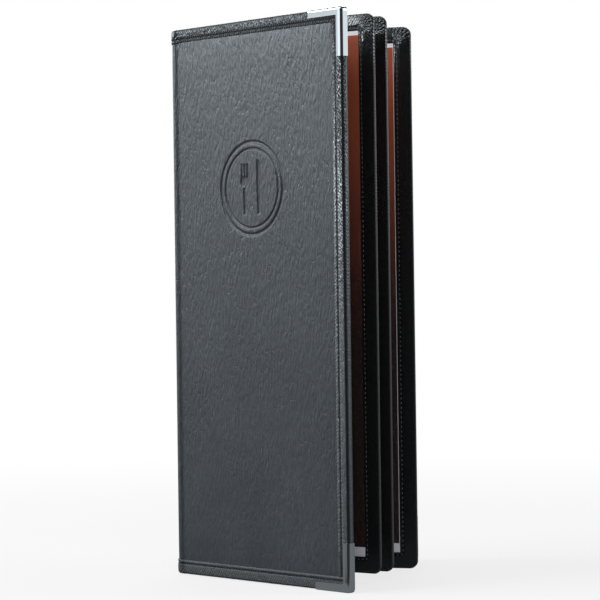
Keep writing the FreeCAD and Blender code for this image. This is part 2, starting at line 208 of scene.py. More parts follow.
class Paint:
    """One material, or the surroundings, and the nodes that make it."""

    def __init__(self, name, owner=None):
        self.owner = owner or bpy.data.materials.new(name)
        self.owner.use_nodes = True
        self.tree = self.owner.node_tree
        self.shader = self.tree.nodes.get("Principled BSDF")

    def node(self, kind, settings=None, inputs=None, output=0):
        """A node with its settings made first, then its sockets filled."""
        made = self.tree.nodes.new("ShaderNode" + kind)
        for key, setting in (settings or {}).items():
            setattr(made, key, setting)
        for key, value in (inputs or {}).items():
            self.plug(made.inputs[key], value)
        return Value(self, made.outputs[output])

    def plug(self, socket, value):
        if isinstance(value, Value):
            self.tree.links.new(value.socket, socket)
        elif hasattr(value, "__len__") and len(value) == 3 and socket.type == "RGBA":
            socket.default_value = (*value, 1.0)
        else:
            socket.default_value = value

    def math(self, operation, *terms):
        return self.node("Math", {"operation": operation}, dict(enumerate(terms)))

    def vector_math(self, operation, first, inputs):
        return self.node("VectorMath", {"operation": operation}, {0: first, **inputs})

    def split(self, vector):
        """The three parts of a vector."""
        parts = self.tree.nodes.new("ShaderNodeSeparateXYZ")
        self.plug(parts.inputs[0], vector)
        return [Value(self, part) for part in parts.outputs]

    def place(self):
        return self.node("TexCoord", output="Object")

    def ray(self, kind):
        return self.node("LightPath", output="Is %s Ray" % kind)

    def axes(self):
        return self.split(self.place())

    def stretch(self, scale, where=None):
        return self.node("Mapping", {}, {"Vector": where or self.place(), "Scale": scale})

    def warped(self, scale, amount):
        """The place, shifted a little this way and that."""
        drift = self.node("TexNoise", {}, {"Vector": self.place(), "Scale": scale}, output="Color")
        centred = self.vector_math("SUBTRACT", drift, {1: (0.5, 0.5, 0.5)})
        scaled = self.vector_math("SCALE", centred, {"Scale": amount})
        return self.vector_math("ADD", self.place(), {1: scaled})

    def noise(self, scale, detail=3.0, rough=0.55, where=None):
        return self.node("TexNoise", {}, {"Vector": where or self.place(), "Scale": scale,
                                          "Detail": detail, "Roughness": rough})

    def cells(self, scale, where=None):
        return self.node("TexVoronoi", {"feature": "DISTANCE_TO_EDGE"},
                         {"Vector": where or self.place(), "Scale": scale})

    def blend(self, mask, first, second):
        return self.node("Mix", {"data_type": "RGBA"}, {"Factor": mask, "A": first, "B": second},
                         output="Result")

    def relief(self, height, distance, strength=1.0, under=None):
        inputs = {"Height": height, "Distance": distance, "Strength": strength}
        if under:
            inputs["Normal"] = under
        return self.node("Bump", {}, inputs)

    def set(self, **sockets):
        for key, value in sockets.items():
            self.plug(self.shader.inputs[key.replace("_", " ").title().replace("Ior", "IOR")], value)
        return self.owner


def toned(colour, share):
    return tuple(channel * share for channel in colour)


def plan_across(paint, origin, along):
    """Distance from a hinge line along a cover or a leaf, and the height."""
    x_row, y_row, z_row = paint.axes()
    return (x_row - origin.x) * along.x + (y_row - origin.y) * along.y, z_row


def crinkle(paint):
    """Height of crinkled leatherette: upright creases between soft folds, and a few long cracks."""
    bent = paint.warped(95, 1.6 * MM)

    def grain(upright, scale, detail=1.0, rough=0.5):
        return paint.noise(scale, detail, rough, paint.stretch((1.0, 1.0, upright), bent))

    folds = grain(0.24, 820)
    fine = grain(0.8, 1500)
    creases = (grain(0.28, 520) - 0.5).absolute().step(0.0, 0.14)
    long_cracks = (grain(0.42, 70, 3.0, 0.6) - 0.5).absolute().step(0.0, 0.012)
    patches = paint.noise(30, 2.0).step(0.35, 0.7)
    return folds + creases * (patches * 0.22 + 0.10) + fine * 0.22 + long_cracks * 0.20


def paint_skin():
    """Crinkle-grain leatherette of the cover faces, pulled smoother towards the foot."""
    paint = Paint("cover_leatherette")
    colour = finish_of().skin_colour
    height = crinkle(paint)
    broad = paint.noise(22, 3.0, 0.5)
    tone = paint.blend(broad.step(0.3, 0.7), toned(colour, 0.86), toned(colour, 1.14))
    # Painted shade: the creases and low parts of the grain are darkened to 0.6 of the skin colour.
    tone = paint.blend(height.step(0.5, 1.4), toned(colour, 0.6), tone)
    _, _, z_row = paint.axes()
    relief = paint.relief(height * (z_row.step(-0.04, 0.24) * 0.45 + 0.55), 0.30 * MM)
    return paint.set(base_color=tone, roughness=0.36 + broad * 0.08, normal=relief, specular_ior_level=0.5,
                     specular_tint=(0.79, 0.92, 1.0, 1.0))


def paint_edging(name, colour, gloss, grain, depth, shine, fade):
    """Pebble-grain leatherette of the folded strips, gathered in slanting ridges beside a seam, with painted
    shade in the hollows of the grain, in the seam's groove and along the middle of the bend.

    fade gives the two heights between which the gathers grow to their full depth, and their share below.
    """
    paint = Paint(name)
    marks = paint.node("Attribute", {"attribute_name": "seam_place"}, output="Vector")
    run, outwards, from_bend = paint.split(marks)
    _, _, z_row = paint.axes()
    where = paint.stretch((1.0, 1.0, 0.62), paint.warped(240, 0.9 * MM))
    pebbles = paint.cells(660, where).step(0.02, 0.36)
    folds = paint.noise(900, 2.0, 0.6, where)
    slant = (outwards - RIDGE_TURN).absolute()
    drift = paint.noise(520, 1.0)
    share = ((run + slant * 0.8) / RIDGE_PITCH + drift * 0.4).fraction()
    strong = paint.noise(300, 1.0).step(0.3, 0.6)
    gathered = run.step(9 * MM, 15 * MM)
    ridges = (1 - share) * share.step(0.0, 0.3) * (strong * 0.25 + 0.75) * gathered
    groove = 1 - outwards.absolute().step(0.30 * MM, 0.65 * MM)
    at_bend = 1 - from_bend.absolute().step(0.50 * MM, 1.20 * MM)
    low, high, least = fade
    faded = z_row.step(low, high) * (1 - least) + least
    pebbled = (pebbles + folds) * grain * (gathered * 0.6 + 0.4)
    relief = paint.relief((pebbled + ridges) * faded * (1 - at_bend * 0.75), depth)
    # Painted shade: the hollows between pebbles and ridges are darkened to a quarter of the colour.
    tone = paint.blend(pebbles * 0.4 + ridges * 0.6, toned(colour, 0.25), colour)
    # Painted shade: the seam's groove and the middle of the bend are darkened to 0.08 of the colour.
    tone = paint.blend(groove.most(at_bend * 0.8), tone, toned(colour, 0.08))
    dull = (1 - z_row.step(0.08, 0.30)) * 0.16 + (1 - z_row.step(0.010, 0.022)) * 0.26
    rough = gloss + folds * 0.10 + groove * 0.5 + dull + z_row.step(0.292, 0.296) * 0.12
    return paint.set(base_color=tone, roughness=rough, normal=relief, specular_ior_level=shine,
                     specular_tint=(0.82, 0.93, 1.0, 1.0))


def paint_lining():
    """Flat black lining cloth with a fine leather grain."""
    paint = Paint("lining")
    grain = paint.cells(900).step(0.0, 0.4)
    relief = paint.relief(grain + paint.noise(300), 0.1 * MM, 0.5)
    return paint.set(base_color=(0.010, 0.010, 0.011), roughness=0.55 + grain * 0.1, normal=relief)


def paint_metal(cover):
    """Bright nickel with faint drawing marks and a soft haze, rolling gently into the bend."""
    paint = Paint(cover + "_nickel")
    fold = Fold(cover)
    across, _ = plan_across(paint, fold.axis, fold.along)
    roll = (across - (fold.width - 2.7 * MM)).most(0.0)
    haze = paint.noise(90)
    marks = paint.noise(1.0, 2.0, where=paint.stretch((900.0, 900.0, 30.0)))
    relief = paint.relief(roll * -0.085, 1.0, 1.0, paint.relief(marks, 0.004 * MM, 0.4))
    return paint.set(base_color=finish_of().metal_colour, metallic=1.0, roughness=0.06 + haze * 0.06,
                     normal=relief)


def paint_window():
    """Clear flexible vinyl, a little wavy."""
    paint = Paint("clear_vinyl")
    wave = paint.noise(30, 2.0, where=paint.stretch((1.0, 1.0, 0.4)))
    relief = paint.relief(wave, 0.6 * MM, 0.5)
    return paint.set(base_color=(0.10, 0.11, 0.12), roughness=0.06 + wave * 0.05, alpha=0.045, normal=relief)


def paint_plain(name, colour, rough):
    """A matt sheet with a slight mottle."""
    paint = Paint(name)
    mottle = paint.noise(160)
    tone = paint.blend(mottle, toned(colour, 0.85), toned(colour, 1.15))
    return paint.set(base_color=tone, roughness=rough + mottle * 0.08)


def paint_thread(name, colour, rough):
    """Twisted thread."""
    paint = Paint(name)
    x_row, y_row, z_row = paint.axes()
    twist = ((x_row + y_row + z_row) * 5200.0).sine()
    relief = paint.relief(twist, 0.05 * MM, 0.6)
    # Painted shade and highlight: the colour is darker in the twist's grooves and lighter on its crests,
    # following the bump.
    tone = paint.blend(twist * 0.5 + 0.5, toned(colour, 0.6), toned(colour, 1.4))
    return paint.set(base_color=tone, roughness=rough + twist * 0.05, normal=relief)


def paint_card(leaf):
    """A printed card: a field that deepens downwards, inside bare paper margins."""
    paint = Paint(leaf + "_card_print")
    colours = finish_of()
    low, high = local_limits(leaf, leaf + "_front_card")
    to_row = local_frame(leaf)
    across, z_row = plan_across(paint, to_row.translation, to_row.to_3x3() @ Vector((1, 0, 0)))
    fall = (z_row - low.z) / (high.z - low.z)
    cloud = paint.noise(26, 4.0, 0.6, paint.stretch((1.0, 1.0, 0.35)))
    speck = paint.noise(700, 2.0)
    depth = fall + (cloud - 0.5) * 0.30
    field = paint.blend(depth.step(0.38, 0.93), colours.print_bottom, colours.print_top)
    field = paint.blend(speck.step(0.45, 0.8) * 0.35, field, toned(colours.print_top, 0.55))
    fore_margin = 0.25 * MM if leaf == "leaf_c" else -1.0 * MM
    inside = 1.0
    for inset in (z_row - (low.z + 5.0 * MM), (high.z - 2.3 * MM) - z_row,
                  across - (low.x + 3.0 * MM), (high.x - fore_margin) - across):
        inside = inset.step(-0.1 * MM, 0.1 * MM) * inside
    tone = paint.blend(inside, colours.paper_colour, field)
    return paint.set(base_color=tone, roughness=0.34 + speck * 0.1)


PAINTS = {}


def give(piece, key):
    """Puts one material on a piece."""
    piece.data.materials.clear()
    piece.data.materials.append(PAINTS[key])


def dress_node(node, key):
    """Puts one material on every slot of a CAD node."""
    mesh = frame["nodes"][node].data
    if not mesh.materials:
        mesh.materials.append(PAINTS[key])
    for index in range(len(mesh.materials)):
        mesh.materials[index] = PAINTS[key]


def clear_selection():
    if bpy.context.object and bpy.context.object.mode != "OBJECT":
        bpy.ops.object.mode_set(mode="OBJECT")
    bpy.ops.object.select_all(action="DESELECT")


def select_only(*pieces):
    clear_selection()
    for piece in pieces:
        piece.select_set(True)
    bpy.context.view_layer.objects.active = pieces[0]


def added(operator, name, **settings):
    """A new object from one of Blender's add operators."""
    clear_selection()
    operator(**settings)
    bpy.context.object.name = name
    return bpy.context.object


def shaped_grid(name, columns, rows, place, seam_place=None):
    """A grid laid over a surface: place gives the point for two shares, along and across.

    seam_place gives the run along a strip and the distances outwards from its seam and from the middle of
    its bend, for the strip's grain and for its painted shade in the seam's groove and along the bend.
    """
    piece = added(bpy.ops.mesh.primitive_grid_add, name, size=1.0, x_subdivisions=columns,
                  y_subdivisions=rows)
    piece.data.name = name
    if seam_place:
        marks = piece.data.attributes.new("seam_place", "FLOAT_VECTOR", "POINT")
        for vertex, mark in zip(piece.data.vertices, marks.data):
            mark.vector = seam_place(vertex.co.x + 0.5, vertex.co.y + 0.5)
    for vertex in piece.data.vertices:
        vertex.co = place(vertex.co.x + 0.5, vertex.co.y + 0.5)
    piece.data.update()
    select_only(piece)
    bpy.ops.object.shade_smooth()
    return piece


def surfaced(piece, outward, key):
    """Flips a surface whose faces look the wrong way, and gives it its material."""
    total = Vector()
    for face in piece.data.polygons:
        total += face.normal * face.area
    if total.dot(outward) < 0:
        select_only(piece)
        bpy.ops.object.mode_set(mode="EDIT")
        bpy.ops.mesh.select_all(action="SELECT")
        bpy.ops.mesh.flip_normals()
        bpy.ops.object.mode_set(mode="OBJECT")
    give(piece, key)


def clamp(value):
    return min(1.0, max(0.0, value))


def smooth(value, low, high):
    """0 at low, 1 at high, with a soft start and end."""
    share = clamp((value - low) / (high - low))
    return share * share * (3 - 2 * share)


def bump_at(value, middle, width):
    """1 at the middle, falling away like a bell."""
    return math.exp(-((value - middle) / width) ** 2)


def arch(share):
    """0 at both ends, 1 half way."""
    return math.sin(math.pi * clamp(share))


def tucked(inset, reach):
    """1 at the cut edge of a sheet, 0 from reach on."""
    return (1 - clamp(inset / reach)) ** 2


def ripple(point, size, seed=0.0):
    """Soft unevenness of sewn leatherette, from -1 to 1."""
    return noise.noise(Vector((point[0] / size + seed, point[1] / size, point[2] / size)))


class Route:
    """A flat line through corner points, rounded at each corner between its ends."""

    def __init__(self, corners, radii):
        corners = [Vector(corner) for corner in corners]
        self.parts = []
        self.length = 0.0
        start = corners[0]
        for corner, after_corner, radius in zip(corners[1:-1], corners[2:], radii):
            before = (corner - start).normalized()
            after = (after_corner - corner).normalized()
            turn = math.atan2(before.x * after.y - before.y * after.x, before.dot(after))
            trim = radius * math.tan(abs(turn) / 2)
            self._line(start, corner - before * trim)
            side = Vector((-before.y, before.x)) * math.copysign(1.0, turn)
            self._arc(corner - before * trim + side * radius, side, radius, turn)
            start = corner + after * trim
        self._line(start, corners[-1])

    def _line(self, start, end):
        way = (end - start).normalized()
        self.parts.append((self.length, lambda run: (start + way * run, way)))
        self.length += (end - start).length

    def _arc(self, centre, side, radius, turn):
        sense = math.copysign(1.0, turn)

        def at(run):
            arm = Matrix.Rotation(sense * run / radius, 2) @ -side
            return centre + arm * radius, Vector((-arm.y, arm.x)) * sense
        self.parts.append((self.length, at))
        self.length += radius * abs(turn)

    def at(self, run):
        """Point and direction at a distance from the start."""
        for begin, part in reversed(self.parts):
            if run >= begin:
                return part(run - begin)
        return self.parts[0][1](run)


def box_route(start, far, low, high, radius):
    """A route out along low, across at far and back along high, with both corners rounded."""
    return Route([(start, low), (far, low), (far, high), (start, high)], [radius, radius])


class Fold:
    """Plan of one cover and half of the spine: where each layer runs, from the spine's middle outwards."""

    def __init__(self, cover):
        self.cover = cover
        self.side = -1 if cover == "front_cover" else 1
        angle = rest_angle(cover)
        self.axis = Vector(JOINT_OF[cover]["pos_m"][:2])
        self.along = Vector((math.cos(angle), math.sin(angle)))
        self.inward = Vector((-math.sin(angle), math.cos(angle))) * -self.side
        low, high = local_limits(cover, cover + "_fore_strip")
        self.width = high.x
        self.fore_line = low.x
        self.half = high.y
        self.low_line = local_limits(cover, cover + "_bottom_strip")[1].z
        self.high_line = local_limits(cover, cover + "_top_strip")[0].z
        self.first = 2.0 * MM       # where the free part of the cover starts, from the hinge line
        self.reach = 13.5 * MM      # from there back to the middle of the spine
        self.low, self.high = self.low_line - UNDERLAP, self.high_line + UNDERLAP
        self.span = self.fore_line + UNDERLAP - self.first + self.reach

    def route(self, spine_x, turn_y, offset, radii):
        """Along the spine, round the hinge edge and along the cover."""
        meet = offset + self.along * ((turn_y - offset.y) / self.along.y)
        return Route([(spine_x, 0.0), (spine_x, turn_y), meet, offset + self.along * self.width], radii)

    def outer(self, spine_level, cover_level, wall_level):
        return self.route(self.axis.x - spine_level, self.axis.y + self.side * wall_level,
                          self.axis - self.inward * cover_level, [sizes().spine_bend, 1.2 * MM])

    def inner(self, spine_level, cover_level):
        return self.route(self.axis.x - spine_level, self.axis.y - self.side * (cover_level + 0.15 * MM),
                          self.axis + self.inward * cover_level, [0.9 * MM, 2.2 * MM])

    def at(self, route, run):
        """Plan point and direction. The run counts from the cover's free part, less than 0 on the hinge."""
        hinge_part = route.length - (self.width - self.first)
        if run < 0:
            return route.at(hinge_part * (1 + run / self.reach))
        return route.at(hinge_part + run)

    def sheet(self, name, columns, rows, route, pressed, spread=lambda a, b: (a, b)):
        """A sheet from the middle of the spine to under the strips.

        pressed gives its shift at each point, and spread moves the grid's lines together.
        """
        def place(a, b):
            a, b = spread(a, b)
            run, z = a * self.span - self.reach, self.low + b * (self.high - self.low)
            edge = min(z - self.low_line, self.high_line - z, self.fore_line - self.first - run)
            point, way = self.at(route, run)
            return Vector((*(point + pressed(run, z, edge, way)), z))
        return shaped_grid(name, columns, rows, place)

    def bend(self, piece):
        """Bakes a piece's placement into its mesh."""
        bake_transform(piece)


def device_depth(across, up):
    """Share of depth of a plain debossed device: two rings round a fork and a knife."""
    radius = math.hypot(across, up)

    def line(distance, half):
        return 1 - smooth(distance, half - 0.3 * MM, half + 0.3 * MM)

    def bar(x_mid, z_mid, half_x, half_z):
        return line(max(abs(across - x_mid) - half_x, abs(up - z_mid) - half_z), 0.0)

    def disc(x_mid, z_mid, half_x, half_z):
        return 1 - smooth(math.hypot((across - x_mid) / half_x, (up - z_mid) / half_z), 0.88, 1.12)

    if radius > DEVICE_HALF:
        return 0.0
    fork_x, knife_x = -5.6 * MM, 5.6 * MM
    marks = [line(abs(radius - 25.0 * MM), 0.8 * MM), line(abs(radius - 21.4 * MM), 0.5 * MM),
             bar(fork_x, -6.0 * MM, 1.0 * MM, 8.0 * MM), disc(fork_x, 3.6 * MM, 3.3 * MM, 3.0 * MM),
             bar(knife_x, -7.5 * MM, 1.0 * MM, 6.5 * MM)]
    marks += [bar(fork_x + step * 2.3 * MM, 8.6 * MM, 0.55 * MM, 4.6 * MM) for step in (-1, 0, 1)]
    marks.append(min(disc(knife_x - 0.6 * MM, 6.2 * MM, 2.4 * MM, 8.6 * MM),
                     smooth(across, knife_x - 1.6 * MM, knife_x - 1.0 * MM)))
    return max(marks)


def dense(share, low, high):
    """Spreads shares so that the stretch between low and high gets its part of the grid's lines."""
    rest = (1 - DEVICE_LINES) / (1 - (high - low))
    if share < low * rest:
        return share / rest
    share -= low * rest
    if share < DEVICE_LINES:
        return low + share * (high - low) / DEVICE_LINES
    return high + (share - DEVICE_LINES) / rest


def cover_face(cover):
    """The leatherette face of one cover, from the middle of the spine to under the fore strip."""
    fold = Fold(cover)
    marked = cover == "front_cover"
    centre_run, centre_z = DEVICE_FORWARD - fold.first, fold.high_line - DEVICE_DOWN
    area_x = [(centre_run + side * DEVICE_HALF + fold.reach) / fold.span for side in (-1, 1)]
    area_z = [(centre_z + side * DEVICE_HALF - fold.low) / (fold.high - fold.low) for side in (-1, 1)]

    def spread(a, b):
        return (dense(a, *area_x), dense(b, *area_z)) if marked else (a, b)

    def pressed(run, z, edge, way):
        crown = 0.16 * MM * smooth(edge, 0.0, 14 * MM) - 0.14 * MM * (1 - smooth(edge, 0.0, 2.2 * MM))
        crown *= smooth(run, -fold.reach, 4 * MM)
        crown += 0.03 * MM * ripple((run, z, 0.0), 9 * MM)
        if marked:
            crown -= DEVICE_DEPTH * device_depth(run - centre_run, z - centre_z)
        out = Vector((-way.y, way.x)) * -fold.side
        return out * (-crown if out.dot(fold.inward) > 0 else crown)

    route = fold.outer(4.05 * MM, 1.7 * MM, 2.1 * MM)
    columns, rows = (220, 230) if marked else (90, 120)
    piece = fold.sheet(cover + "_face", columns, rows, route, pressed, spread)
    surfaced(piece, -fold.inward.to_3d(), "skin")
    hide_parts(cover + "_skin")
    fold.bend(piece)
    return piece


def cover_lining(cover):
    """The lining of one cover, with its dip at the hinge, out to the middle of the spine."""
    fold = Fold(cover)

    def pressed(run, z, edge, way):
        return fold.inward * (-0.12 * MM * (1 - smooth(edge, 0.0, 1.5 * MM)) * smooth(run, 0.0, 5 * MM))

    piece = fold.sheet(cover + "_lining", 110, 60, fold.inner(2.8 * MM, 1.72 * MM), pressed)
    surfaced(piece, fold.inward.to_3d(), "lining")
    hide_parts(cover + "_liner")
    fold.bend(piece)
    return piece


def strip_relief(from_rim, width, run, seam, point, seed, under_metal):
    """How far a folded strip stands proud: less near the rim, least under a metal corner."""
    inset = width - from_rim
    wave = math.cos(2 * math.pi * run / sizes().stitch_pitch)
    proud = -0.42 * MM * tucked(inset, 0.5 * MM)
    proud -= (0.42 * MM + sizes().pucker * (0.5 + 0.5 * wave)) * bump_at(inset, seam, 0.15 * seam)
    proud += 0.14 * MM * arch((inset - seam) / (width - seam)) + 0.06 * MM * arch(inset / seam)
    proud -= 0.05 * MM * wave * bump_at(inset, seam, 1.4 * MM)
    proud += 0.06 * MM * ripple(point, 3.1 * MM, seed) + 0.03 * MM * ripple(point, 1.3 * MM, seed + 7)
    if from_rim < STRIP_COLLAR:
        proud = min(proud, 0.3 * MM * (1 - under_metal) - 0.08 * MM * under_metal)
    return proud


def stitched(name, body, places, thread="thread"):
    """A row of stitches. Each place is a point, the way the thread runs and the way out."""
    first = added(bpy.ops.mesh.primitive_uv_sphere_add, "stitch", segments=6, ring_count=6,
                  rotation=(0.0, math.pi / 2, 0.0))
    bpy.ops.object.transform_apply(location=False, rotation=True, scale=False)
    half, radius = sizes().stitch_length / 2, sizes().thread_radius
    for vertex in first.data.vertices:
        dip = -1.2 * radius * abs(vertex.co.x) ** 3
        vertex.co = Vector((vertex.co.x * half, vertex.co.y * radius, vertex.co.z * radius + dip))
    made = []
    for point, way, out in places:
        across = out.cross(way).normalized()
        place = Matrix((way, across, way.cross(across).normalized())).transposed().to_4x4()
        place.translation = point
        copy = bpy.data.objects.new(name, first.data.copy())
        copy.data.transform(place)
        bpy.context.scene.collection.objects.link(copy)
        made.append(copy)
    bpy.data.objects.remove(first)
    select_only(*made)
    bpy.ops.object.join()
    piece = bpy.context.object
    piece.name = name
    bpy.ops.object.shade_smooth()
    give(piece, thread)
    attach(piece, body)


def stitch_runs(distance, offset=0.5):
    """Middles of the stitches along a seam."""
    pitch = sizes().stitch_pitch
    return [(index + offset) * pitch for index in range(int(distance / pitch))]


def sewn_strip(fold, word, start, span, width, seam, seed, plain, outward, runs, way):
    """A strip folded over one edge of a cover, and the stitches of both its seams.

    plain gives, for a run along the strip and a place and direction on its section, the point without
    relief, the way out, the share of the metal corner that covers it and how far it is pressed down.
    """
    section = box_route(width, 0.0, -fold.half, fold.half, STRIP_BEND)

    def surface(run, girth):
        flat, turn = section.at(girth)
        point, out, under_metal, pressed = plain(run, flat, turn)
        proud = strip_relief(flat.x, width, run, seam, point, seed, under_metal) - pressed
        return point + out * proud, out

    def seam_place(a, b):
        inset = min(b, 1 - b) * section.length
        return a * span, inset - seam, inset - width

    columns = int(span / (sizes().stitch_pitch / 4))
    piece = shaped_grid("%s_%s_edging" % (fold.cover, word), columns, STRIP_ROWS,
                        lambda a, b: surface(start + a * span, b * section.length)[0], seam_place)
    surfaced(piece, outward, "edging")
    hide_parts("%s_%s_strip" % (fold.cover, word))
    places = []
    for girth in (seam, section.length - seam):
        for run in runs:
            point, out = surface(run, girth)
            places.append((point + out * THREAD_LIFT, way, out))
    stitched("%s_%s_seam" % (fold.cover, word), fold.cover, places)
    return piece


def end_strip(cover, word):
    """The folded strip over the top or bottom edge of a cover, from the spine's middle outwards."""
    fold = Fold(cover)
    upper = word == "top"
    sign = 1 if upper else -1
    low, high = local_limits(cover, "%s_%s_strip" % (cover, word))
    spine_low, spine_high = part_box("spine_%s_strip" % word)
    edge_z, spine_z = (high.z, spine_high.z) if upper else (low.z, spine_low.z)
    outer, inner = fold.outer(4.4 * MM, fold.half, fold.half + 0.5 * MM), fold.inner(2.4 * MM, fold.half)
    last = fold.width - fold.first - 0.25 * MM

    def plain(run, flat, turn):
        share = (flat.y / fold.half + 1) / 2
        out_point, in_point = fold.at(outer, run)[0], fold.at(inner, run)[0]
        across = (in_point - out_point).normalized()
        out = Vector((-across.x * turn.x, -across.y * turn.x, sign * turn.y))
        if abs(turn.y) < 0.5:
            out = across.to_3d() * math.copysign(1.0, flat.y)
        z_edge = edge_z + (spine_z - edge_z) * (1 - smooth(run, -fold.reach * 0.6, 0.0))
        z_edge -= sign * 1.1 * MM * bump_at(run, -fold.reach * 0.42, 2.6 * MM) * (1 - share)
        point = Vector((*out_point.lerp(in_point, share), z_edge - sign * flat.x))
        return point, out, smooth(run + fold.first, fold.width - 27 * MM, fold.width - 25 * MM), 0.0

    piece = sewn_strip(fold, word, -fold.reach, last + fold.reach, high.z - low.z, sizes().top_seam,
                       3.0 * sign + 11.0 * fold.side, plain, Vector((0, 0, sign)), stitch_runs(last),
                       fold.along.to_3d())
    fold.bend(piece)
    return piece


def fore_strip(cover):
    """The folded strip round the fore edge of a cover, between its top and bottom strips."""
    fold = Fold(cover)
    low, high = fold.low_line - 1.0 * MM, fold.high_line + 1.0 * MM

    def plain(run, flat, turn):
        plan = fold.axis + fold.along * (fold.width - flat.x) + fold.inward * flat.y
        out = fold.along * turn.y + fold.inward * turn.x
        if abs(turn.y) < 0.5:
            out = fold.inward * math.copysign(1.0, flat.y)
        near_end = min(run, high - low - run)
        pressed = 0.35 * MM * (1 - smooth(near_end, 0.4 * MM, 1.4 * MM))
        under_metal = 1 - smooth(near_end, 17.0 * MM, 20.0 * MM)
        return Vector((*plan, low + run)), out.to_3d().normalized(), under_metal, pressed

    piece = sewn_strip(fold, "fore", 0.0, high - low, fold.width - fold.fore_line, sizes().fore_seam,
                       23.0 * fold.side, plain, fold.along.to_3d(),
                       stitch_runs(fold.high_line - fold.low_line, 1.0), Vector((0, 0, 1)))
    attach(piece, cover)


class LeafShape:
    """Sizes of one leaf in its own flat frame, and the way from there to the row frame."""

    def __init__(self, leaf):
        self.to_row = local_frame(leaf)
        low, high = local_limits(leaf, leaf + "_edge_strip")
        self.start, self.width = low.x, high.x
        self.base, self.top, self.half = low.z, high.z, high.y
        strip_low, strip_high = local_limits(leaf, leaf + "_front_top_strip")
        self.fore_line, self.high_line = strip_high.x, strip_low.z
        self.low_line = local_limits(leaf, leaf + "_front_card")[0].z
        self.corner = sizes().leaf_corner

    def row(self, x, t, z):
        return self.to_row @ Vector((x, t, z))

    def turned(self, x, t, z):
        return self.to_row.to_3x3() @ Vector((x, t, z))


def leaf_border(leaf, side):
    """Half of the folded edging round one leaf: bottom, fore edge and open top."""
    shape = LeafShape(leaf)
    sign = -1 if side == "front" else 1
    outline = box_route(shape.start, shape.width, shape.base, shape.top, shape.corner)
    opening = box_route(shape.start, shape.fore_line, shape.low_line, shape.high_line, OPENING_CORNER)
    rim = shape.width - shape.fore_line
    seam = sizes().leaf_seam
    seed = 5.0 * LEAVES.index(leaf) + 2.0 * sign
    pitch = sizes().stitch_pitch

    # Lengths along the outline and the opening, and grid lines, from the bottom round to the top
    bottom_run = shape.fore_line - OPENING_CORNER - shape.start
    side_run = shape.high_line - shape.low_line - 2 * OPENING_CORNER
    corner_in = OPENING_CORNER * math.pi / 2
    corner_out = shape.corner * math.pi / 2 + 2 * (OPENING_CORNER - shape.corner) + rim
    along = (bottom_run, bottom_run, int(bottom_run / pitch * 4))
    spans = [along, (corner_out + shape.low_line - shape.base, corner_in, CORNER_COLUMNS),
             (side_run, side_run, int(side_run / pitch * 4)),
             (corner_out + shape.top - shape.high_line, corner_in, CORNER_COLUMNS), along]
    columns = sum(count for _, _, count in spans)

    def stations(share):
        """Distances along the outline and the opening, the span, and the share of it that is passed."""
        step = share * columns
        out_run = in_run = 0.0
        for index, (out_length, in_length, count) in enumerate(spans):
            if step <= count or index == len(spans) - 1:
                part = min(1.0, step / count)
                return out_run + out_length * part, in_run + in_length * part, index, part
            step -= count
            out_run += out_length
            in_run += in_length

    def surface(share, cross):
        out_run, in_run, index, part = stations(share)
        out_point, _ = outline.at(min(out_run, outline.length))
        in_point, _ = opening.at(min(in_run, opening.length))
        reach = (out_point - in_point).length
        round_over = min(0.7, 0.55 * MM / reach)
        angle = max(0.0, cross - KNEE) / (1 - KNEE) * math.pi / 2
        inset = min(1.0, cross / KNEE) * (1 - round_over) + round_over * math.sin(angle)
        opened = smooth(part, 0.45, 0.8) if index == 3 else float(index > 3)
        end_level = 0.53 * MM * opened
        level = end_level + (shape.half - end_level) * math.cos(angle)
        flat = in_point.lerp(out_point, inset)
        from_edge = inset * reach
        point = (flat.x, flat.y, level)
        wave = 0.5 + 0.5 * math.cos(2 * math.pi * in_run / pitch)
        lift = -0.38 * MM * tucked(from_edge, 0.45 * MM)
        lift -= (0.10 * MM + sizes().pucker * 0.8 * wave) * bump_at(from_edge, seam, 0.5 * MM)
        lift += 0.13 * MM * arch((from_edge - seam) / (reach - seam))
        lift += 0.07 * MM * ripple(point, 2.6 * MM, seed) + 0.04 * MM * ripple(point, 1.1 * MM, seed + 9)
        if index in PLEAT_DEPTH:
            fan = math.sin(math.pi * part) ** 0.5 * smooth(from_edge, 1.2 * MM, 0.75 * reach)
            gather = (0.5 + 0.5 * math.cos(2 * math.pi * part * sizes().pleats)) ** 2
            lift -= PLEAT_DEPTH[index] * fan * gather
        return shape.row(flat.x, sign * (level + lift * math.cos(angle)), flat.y)

    piece = shaped_grid("%s_%s_edging" % (leaf, side), columns, 30, surface,
                        lambda share, cross: (stations(share)[0], cross * rim - seam, 1.0))
    out = shape.turned(0, sign, 0)
    surfaced(piece, out, "leaf_edging")
    if side == "front":
        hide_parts(leaf + "_edge_strip")
    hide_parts("%s_%s_top_strip" % (leaf, side))
    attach(piece, leaf)

    track = box_route(shape.start, shape.fore_line + seam, shape.low_line - seam, shape.high_line + seam,
                      1.5 * MM)
    places = []
    for run in stitch_runs(track.length):
        flat, way = track.at(run)
        point = shape.row(flat.x, sign * (shape.half - 0.10 * MM), flat.y)
        places.append((point, shape.turned(way.x, 0, way.y), out))
    stitched("%s_%s_seam" % (leaf, side), leaf, places, "leaf_thread")


